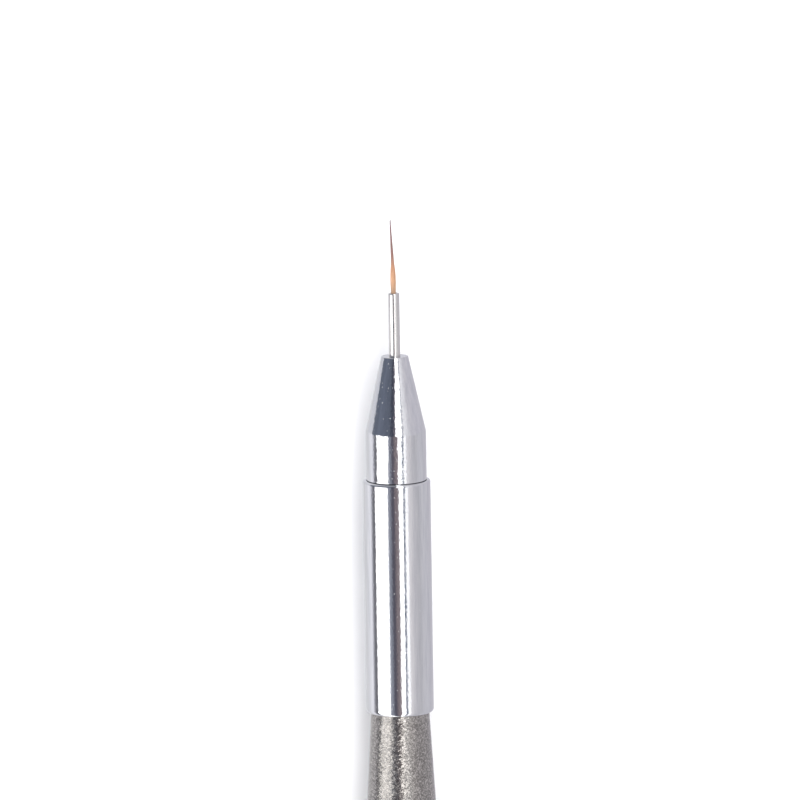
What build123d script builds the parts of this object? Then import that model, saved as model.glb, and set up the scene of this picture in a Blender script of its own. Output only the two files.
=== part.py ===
from build123d import *
from math import radians, sin
import os

# A fine detail brush lying on its side. The axis of the brush runs along +X, from the tail of the handle
# to the point of the hair, and Z = 0 is the surface that the belly of the handle rests on. Millimetres.

# Lengths along the brush, from the point of the hair to the tail
HAIR_OUT = 7.8
TUBE_OUT = 6.6
CONE_LENGTH = 7.9
SHOULDER_OUT = 5.1
SLEEVE_LENGTH = 24.5
HANDLE_OUT = 124.1

# Ferrule sleeve: a plated tube with a rounded front edge, rolled inwards round the handle at its rear edge
SLEEVE_RADIUS = 3.5
SLEEVE_BORE_RADIUS = 3.13
SLEEVE_FRONT_ROUND = 0.3
LIP_RADIUS = 3.055
LIP_LENGTH = 0.38
LIP_ROUND = 0.42

# Nose: a turned cone and shoulder, with a spigot that is pushed into the sleeve. A groove for the glue
# parts the shoulder from the spigot, and shows as a thin dark line in front of the sleeve.
SHOULDER_RADIUS = 3.12
NOSE_FRONT_RADIUS = 1.39
NOSE_FRONT_EDGE = 0.06
SPIGOT_LENGTH = 8.0
SPIGOT_CHAMFER = 0.3
GLUE_GROOVE_RADIUS = 2.85
GLUE_GROOVE_LENGTH = 0.8
GLUE_GROOVE_SHOWS = 0.1
NOSE_BORE_RADIUS = 0.6
NOSE_HOLLOW_RADIUS = 2.4
NOSE_HOLLOW_DEPTH = 10.0
DRILL_POINT_LENGTH = 1.08

# Hair tube: its mouth is rolled in to grip the hair
TUBE_RADIUS = 0.585
TUBE_BORE_RADIUS = 0.425
TUBE_INTO_HOLLOW = 1.2
MOUTH_ROUND = 0.14
MOUTH_BORE_RADIUS = 0.29
MOUTH_ROLL_LENGTH = 0.5

# Roots of the hair inside the tube
ROOT_GAP = 0.015
ROOT_RADIUS = TUBE_BORE_RADIUS - ROOT_GAP
ROOT_LENGTH = 13.0
BOUND_RADIUS = 0.32
BOUND_LENGTH = 1.3
THREAD_DIAMETER = 0.08
THREAD_TURNS = 12
PLUG_BULGE = 0.3
PLUG_BULGE_RADIUS = (ROOT_RADIUS**2 + PLUG_BULGE**2) / (2 * PLUG_BULGE)

# Handle: a tenon in the sleeve, a straight flare, a belly and a long taper to a rounded tail
TENON_LENGTH = 13.0
TENON_CHAMFER = 0.5
TENON_RADIUS = 3.03
FLARE_LENGTH = 9.0
FLARE_SLOPE = 0.057
BELLY_RADIUS = 4.6
BELLY_FROM_SLEEVE = 32.0
TAIL_RADIUS = 2.0
TAIL_SLOPE = 0.024

# Glue
GLUE_GAP = 0.01
GLUE_REAR_MARGIN = 0.8
GLUE_FRONT_MARGIN = 0.8
CEMENT_GAP = 0.04
CEMENT_ON_TUBE = 0.86
CEMENT_ON_CONE = 0.54
CEMENT_HOLLOW_RADIUS = 0.8

# Places along the X axis
TOTAL_LENGTH = HAIR_OUT + TUBE_OUT + CONE_LENGTH + SHOULDER_OUT + SLEEVE_LENGTH + HANDLE_OUT
TIP_X = TOTAL_LENGTH / 2
MOUTH_X = TIP_X - HAIR_OUT
NOSE_FRONT_X = MOUTH_X - TUBE_OUT
SHOULDER_X = NOSE_FRONT_X - CONE_LENGTH
SLEEVE_FRONT_X = SHOULDER_X - SHOULDER_OUT
SLEEVE_REAR_X = SLEEVE_FRONT_X - SLEEVE_LENGTH
TAIL_X = SLEEVE_REAR_X - HANDLE_OUT
SPIGOT_REAR_X = SLEEVE_FRONT_X - SPIGOT_LENGTH
GROOVE_FRONT_X = SLEEVE_FRONT_X + GLUE_GROOVE_SHOWS
GROOVE_REAR_X = GROOVE_FRONT_X - GLUE_GROOVE_LENGTH
HOLLOW_FRONT_X = SPIGOT_REAR_X + NOSE_HOLLOW_DEPTH
DRILL_TIP_X = HOLLOW_FRONT_X + DRILL_POINT_LENGTH
TUBE_REAR_X = DRILL_TIP_X - TUBE_INTO_HOLLOW
TENON_FRONT_X = SLEEVE_REAR_X + TENON_LENGTH
ROOT_REAR_X = MOUTH_X - ROOT_LENGTH
BOUND_FRONT_X = ROOT_REAR_X + BOUND_LENGTH

# Every piece is turned about this axis. The profile plane's x is the distance along the brush from its
# middle, and its y is the radius.
AXIS_HEIGHT = BELLY_RADIUS
BRUSH_AXIS = Axis((0, 0, AXIS_HEIGHT), (1, 0, 0))
PROFILE = Plane(origin=(0, 0, AXIS_HEIGHT), x_dir=(1, 0, 0), z_dir=(0, -1, 0))

# The swell of the hair: distance beyond the mouth, and radius. The thin point ends in a tiny flat.
SWELL = [(0, 0.265), (0.85, 0.305), (1.6, 0.29), (2.3, 0.235), (3.0, 0.17), (4.2, 0.145), (HAIR_OUT, 0.01)]

# The hair bends at two pivots, so its three stretches meet in ball joints. The heel swings sideways on
# the roots and the point swings up and down on the heel.
HEEL_PIVOT = 0.45
POINT_PIVOT = 1.5
BEND_LIMIT_DEG = 40
BALL_GAP = 0.01


def hair_radius(distance):
    """The radius of the hair at a distance beyond the mouth of the tube."""
    for (start, r_start), (end, r_end) in zip(SWELL, SWELL[1:]):
        if distance <= end:
            break
    return r_start + (r_end - r_start) * (distance - start) / (end - start)


def swell_points(start, end):
    """The outline of the hair between two distances beyond the mouth."""
    inner = [distance for distance, _ in SWELL if start < distance < end]
    return [(MOUTH_X + d, hair_radius(d)) for d in [start, *inner, end]]


def cup_edge(pivot):
    """Where the stretch behind a ball stops, beyond the mouth, so that the ball can swing."""
    return pivot - hair_radius(pivot) * sin(radians(BEND_LIMIT_DEG)) - 2 * BALL_GAP


os.makedirs("parts", exist_ok=True)

# Handle
with BuildPart() as handle:
    with BuildSketch(PROFILE):
        with BuildLine():
            flare_end = (SLEEVE_REAR_X - FLARE_LENGTH, TENON_RADIUS + FLARE_SLOPE * FLARE_LENGTH)
            belly = (SLEEVE_REAR_X - BELLY_FROM_SLEEVE, BELLY_RADIUS)
            tail_start = (TAIL_X + TAIL_RADIUS, TAIL_RADIUS)
            Polyline(
                (TAIL_X, 0),
                (TENON_FRONT_X, 0),
                (TENON_FRONT_X, TENON_RADIUS - TENON_CHAMFER),
                (TENON_FRONT_X - TENON_CHAMFER, TENON_RADIUS),
                (SLEEVE_REAR_X, TENON_RADIUS),
                flare_end,
            )
            Spline(flare_end, belly, tangents=[(-1, FLARE_SLOPE), (-1, 0)])
            Spline(belly, tail_start, tangents=[(-1, 0), (-1, -TAIL_SLOPE)])
            Spline(tail_start, (TAIL_X, 0), tangents=[(-1, -TAIL_SLOPE), (0, -1)])
        make_face()
    revolve(axis=BRUSH_AXIS)
handle.part.label = "handle"
export_step(handle.part, "parts/handle.step")

# Ferrule sleeve
with BuildPart() as ferrule_sleeve:
    with BuildSketch(PROFILE):
        with BuildLine():
            lip_start = (SLEEVE_REAR_X + LIP_ROUND, SLEEVE_RADIUS)
            lip_end = (SLEEVE_REAR_X, SLEEVE_RADIUS - LIP_ROUND)
            front_start = (SLEEVE_FRONT_X, SLEEVE_RADIUS - SLEEVE_FRONT_ROUND)
            front_end = (SLEEVE_FRONT_X - SLEEVE_FRONT_ROUND, SLEEVE_RADIUS)
            Polyline(
                lip_end,
                (SLEEVE_REAR_X, LIP_RADIUS),
                (SLEEVE_REAR_X + LIP_LENGTH, LIP_RADIUS),
                (SLEEVE_REAR_X + LIP_LENGTH, SLEEVE_BORE_RADIUS),
                (SLEEVE_FRONT_X, SLEEVE_BORE_RADIUS),
                front_start,
            )
            RadiusArc(front_start, front_end, -SLEEVE_FRONT_ROUND)
            Line(front_end, lip_start)
            RadiusArc(lip_start, lip_end, -LIP_ROUND)
        make_face()
    revolve(axis=BRUSH_AXIS)
ferrule_sleeve.part.label = "ferrule_sleeve"
export_step(ferrule_sleeve.part, "parts/ferrule_sleeve.step")

# Nose cone, with its shoulder and spigot, bored for the tube and hollowed from the back
with BuildPart() as nose_cone:
    with BuildSketch(PROFILE):
        with BuildLine():
            Polyline(
                (DRILL_TIP_X, NOSE_BORE_RADIUS),
                (NOSE_FRONT_X, NOSE_BORE_RADIUS),
                (NOSE_FRONT_X, NOSE_FRONT_RADIUS - NOSE_FRONT_EDGE),
                (NOSE_FRONT_X - NOSE_FRONT_EDGE, NOSE_FRONT_RADIUS),
                (SHOULDER_X, SHOULDER_RADIUS),
                (GROOVE_FRONT_X, SHOULDER_RADIUS),
                (GROOVE_FRONT_X, GLUE_GROOVE_RADIUS),
                (GROOVE_REAR_X, GLUE_GROOVE_RADIUS),
                (GROOVE_REAR_X, SHOULDER_RADIUS),
                (SPIGOT_REAR_X + SPIGOT_CHAMFER, SHOULDER_RADIUS),
                (SPIGOT_REAR_X, SHOULDER_RADIUS - SPIGOT_CHAMFER),
                (SPIGOT_REAR_X, NOSE_HOLLOW_RADIUS),
                (HOLLOW_FRONT_X, NOSE_HOLLOW_RADIUS),
                close=True,
            )
        make_face()
    revolve(axis=BRUSH_AXIS)
nose_cone.part.label = "nose_cone"
export_step(nose_cone.part, "parts/nose_cone.step")

# Hair tube
with BuildPart() as hair_tube:
    with BuildSketch(PROFILE):
        with BuildLine():
            round_start = (MOUTH_X - MOUTH_ROUND, TUBE_RADIUS)
            round_end = (MOUTH_X, TUBE_RADIUS - MOUTH_ROUND)
            RadiusArc(round_start, round_end, MOUTH_ROUND)
            Polyline(
                round_end,
                (MOUTH_X, MOUTH_BORE_RADIUS),
                (MOUTH_X - MOUTH_ROLL_LENGTH, TUBE_BORE_RADIUS),
                (TUBE_REAR_X, TUBE_BORE_RADIUS),
                (TUBE_REAR_X, TUBE_RADIUS),
                round_start,
            )
        make_face()
    revolve(axis=BRUSH_AXIS)
hair_tube.part.label = "hair_tube"
export_step(hair_tube.part, "parts/hair_tube.step")

# Roots of the hair: bound at the back, gripped by the tube, and cupped in front for the heel's ball
with BuildPart() as tuft_root:
    with BuildSketch(PROFILE):
        with BuildLine():
            Polyline(
                (MOUTH_X + cup_edge(HEEL_PIVOT), 0),
                (ROOT_REAR_X, 0),
                (ROOT_REAR_X, BOUND_RADIUS),
                (BOUND_FRONT_X, BOUND_RADIUS),
                (BOUND_FRONT_X + ROOT_RADIUS - BOUND_RADIUS, ROOT_RADIUS),
                (MOUTH_X - MOUTH_ROLL_LENGTH, ROOT_RADIUS),
                *swell_points(0, cup_edge(HEEL_PIVOT)),
                close=True,
            )
        make_face()
    revolve(axis=BRUSH_AXIS)
    with Locations((MOUTH_X + HEEL_PIVOT, 0, AXIS_HEIGHT)):
        Sphere(hair_radius(HEEL_PIVOT) + BALL_GAP, mode=Mode.SUBTRACT)
tuft_root.part.label = "tuft_root"
export_step(tuft_root.part, "parts/tuft_root.step")

# Heel of the hair: a ball behind, and a cup in front for the point's ball
with BuildPart() as tuft_heel:
    with BuildSketch(PROFILE):
        with BuildLine():
            ball = hair_radius(HEEL_PIVOT)
            pole = (MOUTH_X + HEEL_PIVOT - ball, 0)
            RadiusArc(pole, (MOUTH_X + HEEL_PIVOT, ball), ball)
            Polyline(
                *swell_points(HEEL_PIVOT, cup_edge(POINT_PIVOT)),
                (MOUTH_X + cup_edge(POINT_PIVOT), 0),
                pole,
            )
        make_face()
    revolve(axis=BRUSH_AXIS)
    with Locations((MOUTH_X + POINT_PIVOT, 0, AXIS_HEIGHT)):
        Sphere(hair_radius(POINT_PIVOT) + BALL_GAP, mode=Mode.SUBTRACT)
tuft_heel.part.label = "tuft_heel"
export_step(tuft_heel.part, "parts/tuft_heel.step")

# Point of the hair: a ball behind, then the long taper
with BuildPart() as tuft_point:
    with BuildSketch(PROFILE):
        with BuildLine():
            ball = hair_radius(POINT_PIVOT)
            pole = (MOUTH_X + POINT_PIVOT - ball, 0)
            RadiusArc(pole, (MOUTH_X + POINT_PIVOT, ball), ball)
            Polyline(*swell_points(POINT_PIVOT, HAIR_OUT), (TIP_X, 0), pole)
        make_face()
    revolve(axis=BRUSH_AXIS)
tuft_point.part.label = "tuft_point"
export_step(tuft_point.part, "parts/tuft_point.step")

# Thread wound side by side round the roots
with BuildPart() as binding_thread:
    with BuildSketch(PROFILE):
        with BuildLine():
            wound_radius = BOUND_RADIUS + GLUE_GAP + THREAD_DIAMETER / 2
            first_x = ROOT_REAR_X + THREAD_DIAMETER
            for turn in range(THREAD_TURNS):
                left = first_x + turn * THREAD_DIAMETER
                ThreePointArc(
                    (left, wound_radius),
                    (left + THREAD_DIAMETER / 2, wound_radius + THREAD_DIAMETER / 2),
                    (left + THREAD_DIAMETER, wound_radius),
                )
            last_x = first_x + THREAD_TURNS * THREAD_DIAMETER
            Polyline(
                (last_x, wound_radius),
                (last_x, BOUND_RADIUS + GLUE_GAP),
                (first_x, BOUND_RADIUS + GLUE_GAP),
                (first_x, wound_radius),
            )
        make_face()
    revolve(axis=BRUSH_AXIS)
binding_thread.part.label = "binding_thread"
export_step(binding_thread.part, "parts/binding_thread.step")

# Drop of epoxy that closes the back of the tube behind the roots, and bulges out of it
with BuildPart() as root_cement:
    with BuildSketch(PROFILE):
        with BuildLine():
            bulge_pole = (TUBE_REAR_X - PLUG_BULGE, 0)
            bulge_edge = (TUBE_REAR_X, ROOT_RADIUS)
            RadiusArc(bulge_pole, bulge_edge, PLUG_BULGE_RADIUS)
            Polyline(
                bulge_edge,
                (ROOT_REAR_X - GLUE_GAP, ROOT_RADIUS),
                (ROOT_REAR_X - GLUE_GAP, 0),
                bulge_pole,
            )
        make_face()
    revolve(axis=BRUSH_AXIS)
root_cement.part.label = "root_cement"
export_step(root_cement.part, "parts/root_cement.step")

# Ring of cement round the tube, at the bottom of the nose's hollow
with BuildPart() as tube_cement:
    with BuildSketch(PROFILE):
        with BuildLine():
            ring_radius = TUBE_RADIUS + GLUE_GAP
            cone_slope = (NOSE_HOLLOW_RADIUS - NOSE_BORE_RADIUS) / DRILL_POINT_LENGTH
            ring_front = (DRILL_TIP_X - CEMENT_GAP, ring_radius)
            ring_rear = (DRILL_TIP_X - CEMENT_ON_TUBE, ring_radius)
            ring_outer = (
                DRILL_TIP_X - CEMENT_GAP - CEMENT_ON_CONE,
                ring_radius + CEMENT_ON_CONE * cone_slope,
            )
            Line(ring_rear, ring_front)
            Line(ring_front, ring_outer)
            RadiusArc(ring_outer, ring_rear, CEMENT_HOLLOW_RADIUS)
        make_face()
    revolve(axis=BRUSH_AXIS)
tube_cement.part.label = "tube_cement"
export_step(tube_cement.part, "parts/tube_cement.step")

# Film of glue between the tenon and the sleeve
with BuildPart() as tenon_glue:
    with BuildSketch(PROFILE):
        with BuildLine():
            Polyline(
                (SLEEVE_REAR_X + GLUE_REAR_MARGIN, TENON_RADIUS + GLUE_GAP),
                (TENON_FRONT_X - GLUE_FRONT_MARGIN, TENON_RADIUS + GLUE_GAP),
                (TENON_FRONT_X - GLUE_FRONT_MARGIN, SLEEVE_BORE_RADIUS - GLUE_GAP),
                (SLEEVE_REAR_X + GLUE_REAR_MARGIN, SLEEVE_BORE_RADIUS - GLUE_GAP),
                close=True,
            )
        make_face()
    revolve(axis=BRUSH_AXIS)
tenon_glue.part.label = "tenon_glue"
export_step(tenon_glue.part, "parts/tenon_glue.step")
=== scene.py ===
"""Looks of the fine detail brush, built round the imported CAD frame.

Lengths are in metres, except in the hair's section, which works in millimetres from the tube's mouth."""

import math
import random

import bmesh
import bpy
from mathutils import Matrix, Vector


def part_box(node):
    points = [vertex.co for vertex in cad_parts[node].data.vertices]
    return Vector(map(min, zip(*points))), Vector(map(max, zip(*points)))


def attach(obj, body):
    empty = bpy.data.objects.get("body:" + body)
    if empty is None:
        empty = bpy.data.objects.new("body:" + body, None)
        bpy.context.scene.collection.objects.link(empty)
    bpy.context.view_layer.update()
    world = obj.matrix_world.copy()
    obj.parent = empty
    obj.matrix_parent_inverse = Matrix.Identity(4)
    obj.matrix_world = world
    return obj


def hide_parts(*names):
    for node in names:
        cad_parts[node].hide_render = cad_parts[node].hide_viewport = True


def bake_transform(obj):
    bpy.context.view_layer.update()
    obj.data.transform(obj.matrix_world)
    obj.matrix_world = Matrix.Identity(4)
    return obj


MM = 0.001
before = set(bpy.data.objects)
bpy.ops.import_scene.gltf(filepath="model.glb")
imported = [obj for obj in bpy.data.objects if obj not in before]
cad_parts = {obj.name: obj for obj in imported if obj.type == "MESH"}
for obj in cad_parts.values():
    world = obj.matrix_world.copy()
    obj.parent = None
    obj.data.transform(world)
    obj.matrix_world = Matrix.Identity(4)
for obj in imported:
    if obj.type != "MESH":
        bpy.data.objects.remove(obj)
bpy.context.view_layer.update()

# ---------------------------------------------------------------- places, from the CAD frame

handle_low, handle_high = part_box("handle")
sleeve_low, sleeve_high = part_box("ferrule_sleeve")
nose_low, nose_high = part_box("nose_cone")
tube_low, tube_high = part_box("hair_tube")
root_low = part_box("tuft_root")[0]
tip_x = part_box("tuft_point")[1].x
mouth_x = tube_high.x
axis_z = (handle_low.z + handle_high.z) / 2
belly_radius = handle_high.z - axis_z
sleeve_radius = sleeve_high.z - axis_z
shoulder_radius = nose_high.z - axis_z
tube_radius = tube_high.z - axis_z


# ---------------------------------------------------------------- turned meshes

def rounded(corners, closed, steps=6, support=0.03 * MM, spacing=0.8 * MM):
    """Points along an outline of (x, radius, rounding) corners.

    Each corner is rounded over that length of its two sides, and each straight side gets points close to its
    ends, so that its shading stays flat."""
    count = len(corners)
    arcs = []
    for i, (x, r, size) in enumerate(corners):
        here = Vector((x, r))
        if size == 0 or (not closed and i in (0, count - 1)):
            arcs.append([here])
            continue
        before = (Vector(corners[i - 1][:2]) - here).normalized() * size
        after = (Vector(corners[(i + 1) % count][:2]) - here).normalized() * size
        arc = []
        for k in range(steps + 1):
            t = k / steps
            arc.append(here + before * (1 - t) ** 2 + after * t**2)
        arcs.append(arc)
    points = []
    for i, arc in enumerate(arcs):
        points.extend(arc)
        if i == count - 1 and not closed:
            break
        start, end = arc[-1], arcs[(i + 1) % count][0]
        length = (end - start).length
        if length > 4 * support:
            inner = max(1, round(length / spacing))
            shares = [support / length]
            shares += [k / inner for k in range(1, inner)]
            shares += [1 - support / length]
            points.extend(start.lerp(end, share) for share in shares)
    return points


def mesh_object(name, verts, faces):
    """A new object with smooth faces that all point outwards."""
    mesh = bpy.data.meshes.new(name)
    mesh.from_pydata(verts, [], faces)
    bm = bmesh.new()
    bm.from_mesh(mesh)
    bmesh.ops.recalc_face_normals(bm, faces=bm.faces)
    bm.to_mesh(mesh)
    bm.free()
    mesh.shade_smooth()
    obj = bpy.data.objects.new(name, mesh)
    bpy.context.scene.collection.objects.link(obj)
    return obj


def turned(name, outline, closed, around=160):
    """The outline of (x, radius) points turned about the brush's axis.

    An open outline starts and ends on the axis."""
    rings = outline if closed else outline[1:-1]
    verts = []
    for x, r in rings:
        for k in range(around):
            a = 2 * math.pi * k / around
            verts.append((x, r * math.sin(a), axis_z + r * math.cos(a)))
    faces = []
    last = len(rings) if closed else len(rings) - 1
    for i in range(last):
        a, b = i * around, (i + 1) % len(rings) * around
        for k in range(around):
            n = (k + 1) % around
            faces.append((a + k, a + n, b + n, b + k))
    if not closed:
        for pole, ring in ((outline[0], 0), (outline[-1], (len(rings) - 1) * around)):
            verts.append((pole[0], 0, axis_z))
            for k in range(around):
                faces.append((ring + k, ring + (k + 1) % around, len(verts) - 1))
    return mesh_object(name, verts, faces)


def hermite(start, end, start_way, end_way, count):
    """Points of the curve from start to end that leaves and arrives along two ways, both ends included."""
    a, b = Vector(start), Vector(end)
    size = (b - a).length
    m, n = Vector(start_way).normalized() * size, Vector(end_way).normalized() * size
    points = []
    for k in range(count + 1):
        t = k / count
        points.append(
            a * (2 * t**3 - 3 * t**2 + 1)
            + m * (t**3 - 2 * t**2 + t)
            + b * (3 * t**2 - 2 * t**3)
            + n * (t**3 - t**2)
        )
    return points


# ---------------------------------------------------------------- node helpers

def new_material(name):
    """A new material, its node tree and its Principled shader."""
    mat = bpy.data.materials.new(name)
    mat.use_nodes = True
    tree = mat.node_tree
    return mat, tree, tree.nodes["Principled BSDF"]


def add(tree, kind, inputs=(), **settings):
    """Adds a node: inputs gives a socket a value or a node's output, and settings are its properties."""
    node = tree.nodes.new(kind)
    for key, value in settings.items():
        setattr(node, key, value)
    for socket, value in dict(inputs).items():
        if isinstance(value, bpy.types.NodeSocket):
            tree.links.new(value, node.inputs[socket])
        else:
            node.inputs[socket].default_value = value
    return node


def set_ramp(node, stops):
    """Gives a colour ramp its stops, as (position, colour) pairs."""
    elements = node.color_ramp.elements
    while len(elements) > 1:
        elements.remove(elements[-1])
    elements[0].position, elements[0].color = stops[0][0], (*stops[0][1], 1)
    for position, colour in stops[1:]:
        elements.new(position).color = (*colour, 1)
    return node


def stretched(tree, across):
    """The object's coordinates in millimetres, with X times the first number and the rest the second."""
    coords = add(tree, "ShaderNodeTexCoord")
    scale = (across[0] / MM, across[1] / MM, across[1] / MM)
    mapping = add(tree, "ShaderNodeMapping", {"Vector": coords.outputs["Object"], "Scale": scale})
    return mapping.outputs["Vector"]


def noise(tree, across, detail=2.0, rough=0.5):
    """Noise whose features are 1 / across millimetres along the brush and across it."""
    node = add(
        tree,
        "ShaderNodeTexNoise",
        {"Vector": stretched(tree, across), "Scale": 1.0, "Detail": detail, "Roughness": rough},
    )
    return node.outputs["Fac"]


def remap(tree, value, low, high, to_low, to_high, smooth=False):
    """A value carried from one range to another."""
    node = add(
        tree,
        "ShaderNodeMapRange",
        {"Value": value, "From Min": low, "From Max": high, "To Min": to_low, "To Max": to_high},
        interpolation_type="SMOOTHSTEP" if smooth else "LINEAR",
    )
    return node.outputs["Result"]


def math_node(tree, operation, a, b=0.0):
    """The result of one operation on two values."""
    node = add(tree, "ShaderNodeMath", {0: a, 1: b}, operation=operation)
    return node.outputs[0]


def bump(tree, height, distance, normal=None):
    """A normal bumped by a height from 0 to 1 times a distance, on top of an earlier normal if given."""
    inputs = {"Height": height, "Strength": 1.0, "Distance": distance}
    if normal is not None:
        inputs["Normal"] = normal
    return add(tree, "ShaderNodeBump", inputs).outputs["Normal"]


def finish_piece(obj, material, body=None):
    """Gives a piece its material, and lets it ride on its body when one is given."""
    obj.data.materials.clear()
    obj.data.materials.append(material)
    if body is not None:
        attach(obj, body)
    return obj


# ---------------------------------------------------------------- materials

def plated(name, grain, grain_height, peel, peel_height, pits):
    """Bright plating: a near mirror with faint machining grain, orange peel and a few pits.

    grain, along and across the brush, and peel are features per millimetre. The rest are heights."""
    mat, tree, shader = new_material(name)
    shader.inputs["Metallic"].default_value = 1.0
    cloud = noise(tree, (0.22, 2.4), 4.0, 0.62)
    tint = set_ramp(
        add(tree, "ShaderNodeValToRGB", {"Fac": cloud}),
        [(0.3, (0.590, 0.596, 0.614)), (0.5, (0.640, 0.643, 0.660)), (0.7, (0.680, 0.680, 0.690))],
    )
    tree.links.new(tint.outputs["Color"], shader.inputs["Base Color"])
    smears = noise(tree, (0.6, 1.6), 4.0, 0.6)
    tree.links.new(remap(tree, smears, 0.3, 0.75, 0.025, 0.065), shader.inputs["Roughness"])
    normal = bump(tree, noise(tree, grain, 3.0, 0.6), grain_height)
    normal = bump(tree, noise(tree, (peel, peel), 2.0, 0.5), peel_height, normal)
    cells = add(
        tree, "ShaderNodeTexVoronoi", {"Vector": stretched(tree, (0.8, 1.0)), "Scale": 3.2}, feature="F1"
    )
    spots = remap(tree, cells.outputs["Distance"], 0.0, 0.14, 1.0, 0.0, True)
    chosen = add(tree, "ShaderNodeSeparateColor", {"Color": cells.outputs["Color"]}).outputs["Red"]
    spots = math_node(tree, "MULTIPLY", spots, remap(tree, chosen, 0.4, 1.0, 0.0, 1.0))
    normal = bump(tree, spots, pits, normal)
    tree.links.new(normal, shader.inputs["Normal"])
    return mat


def polished_steel():
    """Drawn stainless tube: a soft mirror with fine lines along it."""
    mat, tree, shader = new_material("polished_steel")
    shader.inputs["Metallic"].default_value = 1.0
    lines = noise(tree, (0.25, 22.0), 3.0, 0.6)
    tint = set_ramp(
        add(tree, "ShaderNodeValToRGB", {"Fac": lines}),
        [(0.3, (0.60, 0.585, 0.570)), (0.7, (0.70, 0.688, 0.672))],
    )
    tree.links.new(tint.outputs["Color"], shader.inputs["Base Color"])
    wear = noise(tree, (2.0, 6.0), 3.0)
    tree.links.new(remap(tree, wear, 0.3, 0.7, 0.21, 0.27), shader.inputs["Roughness"])
    normal = bump(tree, lines, 0.0012 * MM)
    normal = bump(tree, noise(tree, (4.0, 9.0), 3.0), 0.0004 * MM, normal)
    tree.links.new(normal, shader.inputs["Normal"])
    return mat


def flake_lacquer():
    """Metallic lacquer: overlapping flakes, each tilted its own way, under a clear coat."""
    mat, tree, shader = new_material("flake_lacquer")
    shader.inputs["Metallic"].default_value = 0.97
    shader.inputs["Coat Weight"].default_value = 0.25
    shader.inputs["Coat Roughness"].default_value = 0.09
    shader.inputs["Coat IOR"].default_value = 1.5
    where = stretched(tree, (1.0, 1.0))
    small = add(tree, "ShaderNodeTexVoronoi", {"Vector": where, "Scale": 9.0}, feature="F1")
    large = add(tree, "ShaderNodeTexVoronoi", {"Vector": where, "Scale": 6.0}, feature="F1")
    tone = add(tree, "ShaderNodeSeparateColor", {"Color": small.outputs["Color"]}).outputs["Red"]
    bright = add(tree, "ShaderNodeSeparateColor", {"Color": large.outputs["Color"]}).outputs["Green"]
    tone_share = math_node(tree, "MULTIPLY", tone, 0.65)
    mixed = math_node(tree, "ADD", tone_share, math_node(tree, "MULTIPLY", bright, 0.35))
    tint = set_ramp(
        add(tree, "ShaderNodeValToRGB", {"Fac": mixed}),
        [(0.15, (0.185, 0.174, 0.163)), (0.5, (0.290, 0.274, 0.258)), (0.85, (0.485, 0.458, 0.432))],
    )
    tree.links.new(tint.outputs["Color"], shader.inputs["Base Color"])
    tree.links.new(remap(tree, tone, 0.0, 1.0, 0.19, 0.27), shader.inputs["Roughness"])
    middle = {0: small.outputs["Color"], 1: (0.5, 0.5, 0.5)}
    tilt = add(tree, "ShaderNodeVectorMath", middle, operation="SUBTRACT")
    tilt = add(tree, "ShaderNodeVectorMath", {0: tilt.outputs[0], "Scale": 0.20}, operation="SCALE")
    facing = add(tree, "ShaderNodeNewGeometry").outputs["Normal"]
    normal = add(tree, "ShaderNodeVectorMath", {0: facing, 1: tilt.outputs[0]}, operation="ADD")
    normal = add(tree, "ShaderNodeVectorMath", {0: normal.outputs[0]}, operation="NORMALIZE")
    tree.links.new(normal.outputs[0], shader.inputs["Normal"])
    coat = bump(tree, noise(tree, (1.4, 1.4), 2.0), 0.006 * MM)
    tree.links.new(coat, shader.inputs["Coat Normal"])
    return mat


def hair_material():
    """Synthetic sable: tan at the heel and mauve brown at the point, with each hair a little different."""
    mat, tree, shader = new_material("hair")
    coords = add(tree, "ShaderNodeTexCoord")
    x = add(tree, "ShaderNodeSeparateXYZ", {"Vector": coords.outputs["Object"]}).outputs["X"]
    wander = remap(tree, noise(tree, (0.6, 14.0), 2.0), 0.3, 0.7, -0.45 * MM, 0.45 * MM)
    along = remap(tree, math_node(tree, "ADD", x, wander), mouth_x, tip_x, 0.0, 1.0)
    ramp = set_ramp(
        add(tree, "ShaderNodeValToRGB", {"Fac": along}),
        [
            (0.00, (0.440, 0.275, 0.170)),
            (0.07, (0.520, 0.312, 0.190)),
            (0.18, (0.640, 0.368, 0.215)),
            (0.34, (0.520, 0.268, 0.152)),
            (0.46, (0.330, 0.165, 0.120)),
            (0.60, (0.230, 0.115, 0.100)),
            (0.80, (0.215, 0.115, 0.115)),
            (1.00, (0.200, 0.115, 0.125)),
        ],
    )
    geometry = add(tree, "ShaderNodeNewGeometry")
    value = remap(tree, geometry.outputs["Random Per Island"], 0.0, 1.0, 0.72, 1.22)
    varied = add(tree, "ShaderNodeHueSaturation", {"Color": ramp.outputs["Color"], "Value": value})
    tree.links.new(varied.outputs["Color"], shader.inputs["Base Color"])
    tree.links.new(remap(tree, noise(tree, (3.0, 20.0)), 0.3, 0.7, 0.28, 0.42), shader.inputs["Roughness"])
    shader.inputs["Specular IOR Level"].default_value = 0.6
    shader.inputs["Sheen Weight"].default_value = 0.15
    tree.links.new(bump(tree, noise(tree, (9.0, 30.0), 2.0), 0.003 * MM), shader.inputs["Normal"])
    return mat


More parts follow.
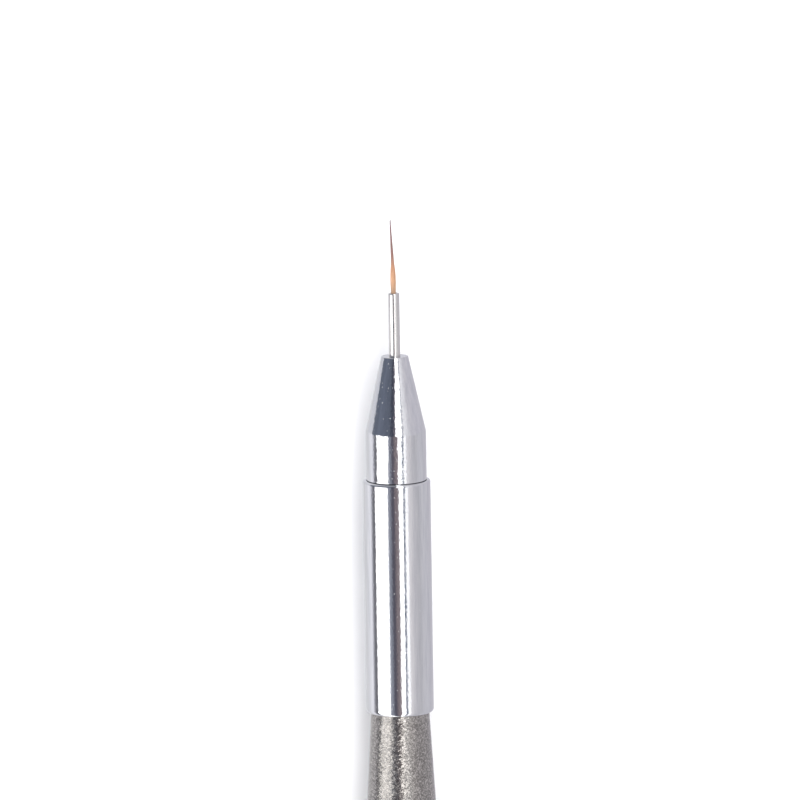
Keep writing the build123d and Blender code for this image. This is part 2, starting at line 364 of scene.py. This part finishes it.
def thread_material():
    """Waxed nylon thread, with its twist showing."""
    mat, tree, shader = new_material("thread")
    twist = {"Vector": stretched(tree, (1.0, 1.0)), "Scale": 9.0, "Distortion": 2.0}
    wave = add(tree, "ShaderNodeTexWave", twist, bands_direction="DIAGONAL")
    tint = set_ramp(
        add(tree, "ShaderNodeValToRGB", {"Fac": wave.outputs["Fac"]}),
        [(0.2, (0.52, 0.49, 0.42)), (0.8, (0.80, 0.77, 0.69))],
    )
    tree.links.new(tint.outputs["Color"], shader.inputs["Base Color"])
    shader.inputs["Roughness"].default_value = 0.55
    tree.links.new(bump(tree, wave.outputs["Fac"], 0.008 * MM), shader.inputs["Normal"])
    return mat


def epoxy_material(name, dark, light):
    """Cured epoxy: glossy and amber, clouded by small bubbles."""
    mat, tree, shader = new_material(name)
    cloud = noise(tree, (1.5, 1.5), 4.0)
    tint = set_ramp(add(tree, "ShaderNodeValToRGB", {"Fac": cloud}), [(0.3, dark), (0.7, light)])
    tree.links.new(tint.outputs["Color"], shader.inputs["Base Color"])
    tree.links.new(remap(tree, cloud, 0.3, 0.7, 0.12, 0.3), shader.inputs["Roughness"])
    shader.inputs["Coat Weight"].default_value = 0.4
    cells = add(tree, "ShaderNodeTexVoronoi", {"Vector": stretched(tree, (1.0, 1.0)), "Scale": 5.0})
    bubbles = remap(tree, cells.outputs["Distance"], 0.0, 0.2, 0.0, 1.0, True)
    tree.links.new(bump(tree, bubbles, 0.01 * MM), shader.inputs["Normal"])
    return mat


# ---------------------------------------------------------------- handle

TENON_CHAMFER = 0.5 * MM
TENON_RADIUS = 3.03 * MM
FLARE_LENGTH = 9.0 * MM
FLARE_SLOPE = 0.057
BELLY_FROM_SLEEVE = 32.0 * MM
TAIL_RADIUS = 2.0 * MM
TAIL_SLOPE = 0.024

flare_end = (sleeve_low.x - FLARE_LENGTH, TENON_RADIUS + FLARE_SLOPE * FLARE_LENGTH)
belly = (sleeve_low.x - BELLY_FROM_SLEEVE, belly_radius)
tail_start = (handle_low.x + TAIL_RADIUS, TAIL_RADIUS)
tail = (handle_low.x, 0.0)
back_half = [
    *hermite(tail, tail_start, (0, 1), (1, TAIL_SLOPE), 16)[:-1],
    *hermite(tail_start, belly, (1, TAIL_SLOPE), (1, 0), 90)[:-1],
    *hermite(belly, flare_end, (1, 0), (1, -FLARE_SLOPE), 40)[:-1],
]
front_half = rounded(
    [
        (*flare_end, 0),
        (sleeve_low.x, TENON_RADIUS, 0.1 * MM),
        (handle_high.x - TENON_CHAMFER, TENON_RADIUS, 0.1 * MM),
        (handle_high.x, TENON_RADIUS - TENON_CHAMFER, 0.1 * MM),
        (handle_high.x, 0, 0),
    ],
    closed=False,
)
handle = turned("handle_lacquered", back_half + front_half, closed=False)
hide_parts("handle")
finish_piece(handle, flake_lacquer(), "brush")

# ---------------------------------------------------------------- ferrule sleeve

SLEEVE_BORE = 3.13 * MM
LIP_BORE = 3.055 * MM
LIP_LENGTH = 0.38 * MM
sleeve_outline = rounded(
    [
        (sleeve_low.x, LIP_BORE, 0.05 * MM),
        (sleeve_low.x + LIP_LENGTH, LIP_BORE, 0.02 * MM),
        (sleeve_low.x + LIP_LENGTH, SLEEVE_BORE, 0.02 * MM),
        (sleeve_high.x, SLEEVE_BORE, 0.04 * MM),
        (sleeve_high.x, sleeve_radius, 0.28 * MM),
        (sleeve_low.x, sleeve_radius, 0.40 * MM),
    ],
    closed=True,
)
sleeve = turned("ferrule_sleeve_plated", sleeve_outline, closed=True)
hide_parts("ferrule_sleeve")
sleeve_plating = plated("sleeve_plating", (0.12, 7.0), 0.0010 * MM, 5.8, 0.0080 * MM, 0.0140 * MM)
finish_piece(sleeve, sleeve_plating, "brush")

# ---------------------------------------------------------------- nose cone

SHOULDER_LENGTH = 5.1 * MM
CONE_LENGTH = 7.9 * MM
NOSE_FRONT_RADIUS = 1.39 * MM
NOSE_BORE = 0.6 * MM
HOLLOW_RADIUS = 2.4 * MM
HOLLOW_DEPTH = 10.0 * MM
DRILL_POINT = 1.08 * MM
GROOVE_RADIUS = 2.85 * MM
GROOVE_LENGTH = 0.8 * MM
GROOVE_SHOWS = 0.03 * MM
SPIGOT_CHAMFER = 0.3 * MM

shoulder_x = nose_high.x - CONE_LENGTH
groove_front = shoulder_x - SHOULDER_LENGTH + GROOVE_SHOWS
hollow_front = nose_low.x + HOLLOW_DEPTH
nose_outline = rounded(
    [
        (nose_high.x, NOSE_BORE, 0.06 * MM),
        (nose_high.x, NOSE_FRONT_RADIUS, 0.10 * MM),
        (shoulder_x, shoulder_radius, 0.22 * MM),
        (groove_front, shoulder_radius, 0.05 * MM),
        (groove_front, GROOVE_RADIUS, 0.03 * MM),
        (groove_front - GROOVE_LENGTH, GROOVE_RADIUS, 0.03 * MM),
        (groove_front - GROOVE_LENGTH, shoulder_radius, 0.03 * MM),
        (nose_low.x + SPIGOT_CHAMFER, shoulder_radius, 0.05 * MM),
        (nose_low.x, shoulder_radius - SPIGOT_CHAMFER, 0.05 * MM),
        (nose_low.x, HOLLOW_RADIUS, 0.05 * MM),
        (hollow_front, HOLLOW_RADIUS, 0.05 * MM),
        (hollow_front + DRILL_POINT, NOSE_BORE, 0.02 * MM),
    ],
    closed=True,
)
nose = turned("nose_cone_plated", nose_outline, closed=True)
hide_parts("nose_cone")
nose_plating = plated("nose_plating", (9.0, 0.25), 0.0020 * MM, 4.6, 0.0150 * MM, 0.0350 * MM)
finish_piece(nose, nose_plating, "brush")

# ---------------------------------------------------------------- hair tube

TUBE_BORE = 0.425 * MM
MOUTH_ROUND = 0.14 * MM
MOUTH_BORE = 0.29 * MM
MOUTH_ROLL = 0.5 * MM
tube_outline = rounded(
    [
        (mouth_x, MOUTH_BORE, 0.03 * MM),
        (mouth_x, tube_radius, MOUTH_ROUND),
        (tube_low.x, tube_radius, 0.03 * MM),
        (tube_low.x, TUBE_BORE, 0.03 * MM),
        (mouth_x - MOUTH_ROLL, TUBE_BORE, 0.1 * MM),
    ],
    closed=True,
)
tube = turned("hair_tube_polished", tube_outline, closed=True, around=96)
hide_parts("hair_tube")
finish_piece(tube, polished_steel(), "brush")

# ---------------------------------------------------------------- hair

# Lengths in this section are in millimetres, and distances run from the tube's mouth towards the point.
HAIR_COUNT = 92
HAIR_RADIUS = 0.031
HAIR_SIDES = 6
HAIR_OUT = 7.8
ROOT_REAR = (root_low.x - mouth_x) / MM
SPLIT = 1.0
END_SUPPORT = 0.02
# The bundle's (distance, radius, lean to +Y): bound tight at the root, swelling past the mouth, and pointed.
BUNDLE = [
    (-13.0, 0.320, 0.0), (-11.7, 0.320, 0.0), (-11.4, 0.410, 0.0), (-0.5, 0.410, 0.0),
    (0.0, 0.262, 0.034), (0.16, 0.265, 0.036), (0.58, 0.282, 0.038), (1.0, 0.305, 0.043),
    (1.42, 0.296, 0.050), (1.84, 0.288, 0.052), (2.26, 0.262, 0.058), (2.68, 0.218, 0.065),
    (3.1, 0.176, 0.072), (3.52, 0.157, 0.086), (3.95, 0.153, 0.104), (4.37, 0.144, 0.128),
    (5.0, 0.126, 0.160), (5.63, 0.108, 0.190), (6.47, 0.090, 0.228), (7.3, 0.076, 0.250),
    (HAIR_OUT, 0.062, 0.258),
]


def bundle_at(distance):
    """The bundle's radius and lean at a distance."""
    for (start, r0, c0), (end, r1, c1) in zip(BUNDLE, BUNDLE[1:]):
        if distance <= end:
            break
    t = min(1.0, max(0.0, (distance - start) / (end - start)))
    t = t * t * (3 - 2 * t) * 0.35 + t * 0.65
    return r0 + (r1 - r0) * t, c0 + (c1 - c0) * t


def hair_plan(seed=11):
    """Each hair's place in the bundle, as a share of its radius, an angle and a slow twist, and its size."""
    rng = random.Random(seed)
    plan = []
    for i in range(HAIR_COUNT):
        share = math.sqrt((i + 0.5) / HAIR_COUNT)
        angle = i * math.pi * (3 - math.sqrt(5)) + rng.uniform(-0.12, 0.12)
        longest = HAIR_OUT - 2.2 * share**1.3 * rng.random() - 0.12 * rng.random()
        if i == 0:
            longest = HAIR_OUT
        plan.append(
            {
                "share": share,
                "angle": angle,
                "twist": rng.uniform(-0.10, 0.10),
                "length": longest,
                "thick": HAIR_RADIUS * rng.uniform(0.86, 1.12),
                "wave": rng.uniform(0, 2 * math.pi),
            }
        )
    return plan


def hair_point(hair, distance):
    """A hair's centre, as y and z from the axis, and its radius at a distance."""
    radius, lean = bundle_at(distance)
    taper = max(0.0, 1 - (max(distance, 0.0) / hair["length"]) ** 3)
    thick = max(0.008, hair["thick"] * (0.25 + 0.75 * taper))
    free = max(0.0, distance) / HAIR_OUT
    angle = hair["angle"] + hair["twist"] * distance
    stray = 1 + 0.10 * free * math.sin(hair["wave"] + 1.3 * distance)
    out = max(0.0, radius - thick) * hair["share"] * stray
    return out * math.sin(angle) + lean, out * math.cos(angle), thick


def hair_mesh(name, plan, start, end, spacing=0.22):
    """The stretch of every hair between two distances, as capped tubes that taper."""
    verts, faces = [], []
    for hair in plan:
        stop = min(end, hair["length"])
        if stop <= start + 0.05:
            continue
        stations = [d for d in (-13.0, -12.3, -11.7, -11.4, -10.0, -7.0, -4.0, -1.5) if d >= start]
        first = max(start, -0.8)
        steps = max(3, round((stop - first) / spacing))
        stations += [first + (stop - first) * k / steps for k in range(steps + 1)]
        stations[1:1] = [stations[0] + END_SUPPORT]
        stations[-1:-1] = [stations[-1] - END_SUPPORT]
        base = len(verts)
        for d in stations:
            y, z, thick = hair_point(hair, d)
            for k in range(HAIR_SIDES):
                a = 2 * math.pi * k / HAIR_SIDES + hair["wave"]
                verts.append(
                    (
                        mouth_x + d * MM,
                        (y + thick * math.sin(a)) * MM,
                        axis_z + (z + thick * math.cos(a)) * MM,
                    )
                )
        for i in range(len(stations) - 1):
            a, b = base + i * HAIR_SIDES, base + (i + 1) * HAIR_SIDES
            for k in range(HAIR_SIDES):
                n = (k + 1) % HAIR_SIDES
                faces.append((a + k, a + n, b + n, b + k))
        last = base + (len(stations) - 1) * HAIR_SIDES
        faces.append(tuple(range(base, base + HAIR_SIDES)))
        faces.append(tuple(range(last, last + HAIR_SIDES)))
    return mesh_object(name, verts, faces)


hair = hair_material()
hairs = hair_plan()
hairs_lower = hair_mesh("tuft_hairs_lower", hairs, ROOT_REAR, SPLIT)
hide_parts("tuft_root", "tuft_heel")
finish_piece(hairs_lower, hair)
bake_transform(hairs_lower)
hairs_upper = hair_mesh("tuft_hairs_upper", hairs, SPLIT, HAIR_OUT)
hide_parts("tuft_point")
finish_piece(hairs_upper, hair)
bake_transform(hairs_upper)

# ---------------------------------------------------------------- inner CAD nodes

finish_piece(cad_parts["binding_thread"], thread_material())
amber = epoxy_material("epoxy_amber", (0.42, 0.24, 0.08), (0.62, 0.42, 0.18))
clear = epoxy_material("epoxy_pale", (0.55, 0.47, 0.33), (0.74, 0.67, 0.52))
finish_piece(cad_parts["root_cement"], amber)
finish_piece(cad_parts["tube_cement"], amber)
finish_piece(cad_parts["tenon_glue"], clear)

# ---------------------------------------------------------------- floor

HALF_FLOOR = 4.0
floor_mesh = bpy.data.meshes.new("floor")
floor_corners = [(HALF_FLOOR * i, HALF_FLOOR * j, 0) for i, j in ((-1, -1), (1, -1), (1, 1), (-1, 1))]
floor_mesh.from_pydata(floor_corners, [], [(0, 1, 2, 3)])
floor = bpy.data.objects.new("floor", floor_mesh)
bpy.context.scene.collection.objects.link(floor)
floor_mat, floor_tree, floor_shader = new_material("floor_paper")
floor_shader.inputs["Base Color"].default_value = (0.93, 0.93, 0.935, 1)
floor_shader.inputs["Roughness"].default_value = 0.9
floor_shader.inputs["Specular IOR Level"].default_value = 0.0
floor_mesh.materials.append(floor_mat)
floor.visible_glossy = False

# ---------------------------------------------------------------- studio light

# The studio is painted on the world by direction. Each stop is (turn, colour): the turn is the angle about
# the brush's axis from straight up, in degrees, positive towards -Y, and the colour is in units of BOX_LIGHT.
# BEHIND is what cylinders reflect to the camera, from the tail's side, and AHEAD is what the cone reflects.
BOX_LIGHT = 3.0
BEHIND = [
    (-180.0, (0.270, 0.270, 0.285)), (-150.0, (0.280, 0.280, 0.290)), (-125.0, (0.325, 0.325, 0.340)),
    (-111.0, (0.385, 0.383, 0.405)), (-103.0, (0.360, 0.358, 0.385)), (-97.0, (0.190, 0.190, 0.210)),
    (-91.0, (0.080, 0.080, 0.088)), (-81.0, (0.070, 0.070, 0.078)), (-78.5, (1.0, 1.0, 1.0)),
    (-35.0, (1.0, 1.0, 1.0)), (-31.0, (0.150, 0.158, 0.185)), (-21.0, (0.095, 0.100, 0.120)),
    (-17.5, (0.045, 0.043, 0.056)), (-9.0, (0.050, 0.047, 0.058)), (-6.5, (0.100, 0.083, 0.090)),
    (5.5, (0.110, 0.093, 0.100)), (8.5, (1.0, 1.0, 1.0)), (19.5, (1.0, 1.0, 1.0)),
    (20.7, (0.095, 0.105, 0.130)), (26.7, (0.095, 0.105, 0.130)), (28.5, (0.57, 0.57, 0.58)),
    (36.0, (0.54, 0.54, 0.55)), (40.0, (0.340, 0.330, 0.340)), (60.0, (0.250, 0.245, 0.260)),
    (79.0, (0.220, 0.218, 0.232)), (93.0, (0.255, 0.252, 0.270)), (115.0, (0.250, 0.248, 0.268)),
    (130.0, (0.235, 0.230, 0.252)), (180.0, (0.220, 0.216, 0.235)),
]
AHEAD = [
    (-180.0, (0.280, 0.282, 0.300)), (-107.0, (0.290, 0.292, 0.315)), (-101.0, (0.060, 0.068, 0.086)),
    (-70.0, (0.065, 0.074, 0.098)), (-24.0, (0.050, 0.057, 0.075)), (-19.0, (0.028, 0.030, 0.042)),
    (-8.0, (0.028, 0.030, 0.042)), (-6.0, (0.082, 0.073, 0.086)), (-1.5, (0.082, 0.073, 0.086)),
    (0.5, (1.0, 1.0, 1.0)), (21.5, (1.0, 1.0, 1.0)), (23.0, (0.110, 0.115, 0.140)),
    (27.5, (0.110, 0.115, 0.140)), (29.5, (0.430, 0.428, 0.440)), (60.0, (0.260, 0.255, 0.275)),
    (100.0, (0.250, 0.245, 0.270)), (180.0, (0.230, 0.226, 0.250)),
]
# What the rounded front edges reflect, and what the camera sees in the metal from the tail's side.
FAR_AHEAD = [
    (-180.0, (0.300, 0.300, 0.315)), (-110.0, (0.320, 0.320, 0.335)), (-101.0, (0.130, 0.135, 0.150)),
    (-24.0, (0.120, 0.125, 0.140)), (-19.0, (0.100, 0.102, 0.115)), (-2.0, (0.100, 0.095, 0.105)),
    (0.5, (1.0, 1.0, 1.0)), (21.5, (1.0, 1.0, 1.0)), (24.0, (0.150, 0.155, 0.175)),
    (29.0, (0.150, 0.155, 0.175)), (31.0, (0.420, 0.418, 0.430)), (60.0, (0.270, 0.265, 0.280)),
    (180.0, (0.250, 0.246, 0.265)),
]

world = bpy.data.worlds.new("studio")
world.use_nodes = True
bpy.context.scene.world = world
sky = world.node_tree
sky.nodes.clear()
generated = add(sky, "ShaderNodeTexCoord").outputs["Generated"]
direction = add(sky, "ShaderNodeSeparateXYZ", {"Vector": generated})
minus_y = math_node(sky, "MULTIPLY", direction.outputs["Y"], -1.0)
turn = math_node(sky, "ARCTAN2", minus_y, direction.outputs["Z"])
share = remap(sky, turn, -math.pi, math.pi, 0.0, 1.0)
panels = []
for stops in (BEHIND, AHEAD, FAR_AHEAD):
    ramp = add(sky, "ShaderNodeValToRGB", {"Fac": share})
    set_ramp(ramp, [((degrees + 180) / 360, colour) for degrees, colour in stops])
    panels.append(ramp.outputs["Color"])
ahead = remap(sky, direction.outputs["X"], -0.04, 0.02, 0.0, 1.0, True)
dome = add(sky, "ShaderNodeMix", {0: ahead, 6: panels[0], 7: panels[1]}, data_type="RGBA")
far = remap(sky, direction.outputs["X"], 0.30, 0.42, 0.0, 1.0, True)
dome = add(sky, "ShaderNodeMix", {0: far, 6: dome.outputs[2], 7: panels[2]}, data_type="RGBA")
lit = add(sky, "ShaderNodeBackground", {"Color": dome.outputs[2], "Strength": BOX_LIGHT})
backdrop = add(sky, "ShaderNodeBackground", {"Color": (1.0, 1.0, 1.0, 1.0), "Strength": 1.0})
seen = add(sky, "ShaderNodeLightPath").outputs["Is Camera Ray"]
both = add(sky, "ShaderNodeMixShader", {0: seen, 1: lit.outputs[0], 2: backdrop.outputs[0]})
add(sky, "ShaderNodeOutputWorld", {"Surface": both.outputs[0]})

key_data = bpy.data.lights.new("key", "SUN")
key_data.energy = 1.05
key_data.angle = math.radians(80)
key = bpy.data.objects.new("key", key_data)
bpy.context.scene.collection.objects.link(key)
key_from = Vector((0.1, -0.22, 1.0))
key.rotation_euler = key_from.to_track_quat("Z", "Y").to_euler()
key.visible_glossy = False

scene = bpy.context.scene
scene.view_settings.view_transform = "Standard"

# ---------------------------------------------------------------- camera

CAMERA_TILT = math.radians(10)
CAMERA_ROLL = math.radians(0.89)
CAMERA_DISTANCE = 1.15
LOOK_AT = Vector((mouth_x - 11.24 * MM, -0.477 * MM, axis_z))
camera_data = bpy.data.cameras.new("camera")
camera_data.lens = 500
camera_data.sensor_width = 36
camera_data.clip_start = 0.05
camera_data.clip_end = 20
camera = bpy.data.objects.new("camera", camera_data)
bpy.context.scene.collection.objects.link(camera)
back = Vector((math.sin(CAMERA_TILT), 0, math.cos(CAMERA_TILT)))
right = Vector((0, -1, 0))
up = back.cross(right)
tilted_up = up * math.cos(CAMERA_ROLL) + right * math.sin(CAMERA_ROLL)
tilted_right = tilted_up.cross(back)
turned_axes = Matrix((tilted_right, tilted_up, back)).transposed()
camera.matrix_world = Matrix.Translation(LOOK_AT + back * CAMERA_DISTANCE) @ turned_axes.to_4x4()
scene.camera = camera
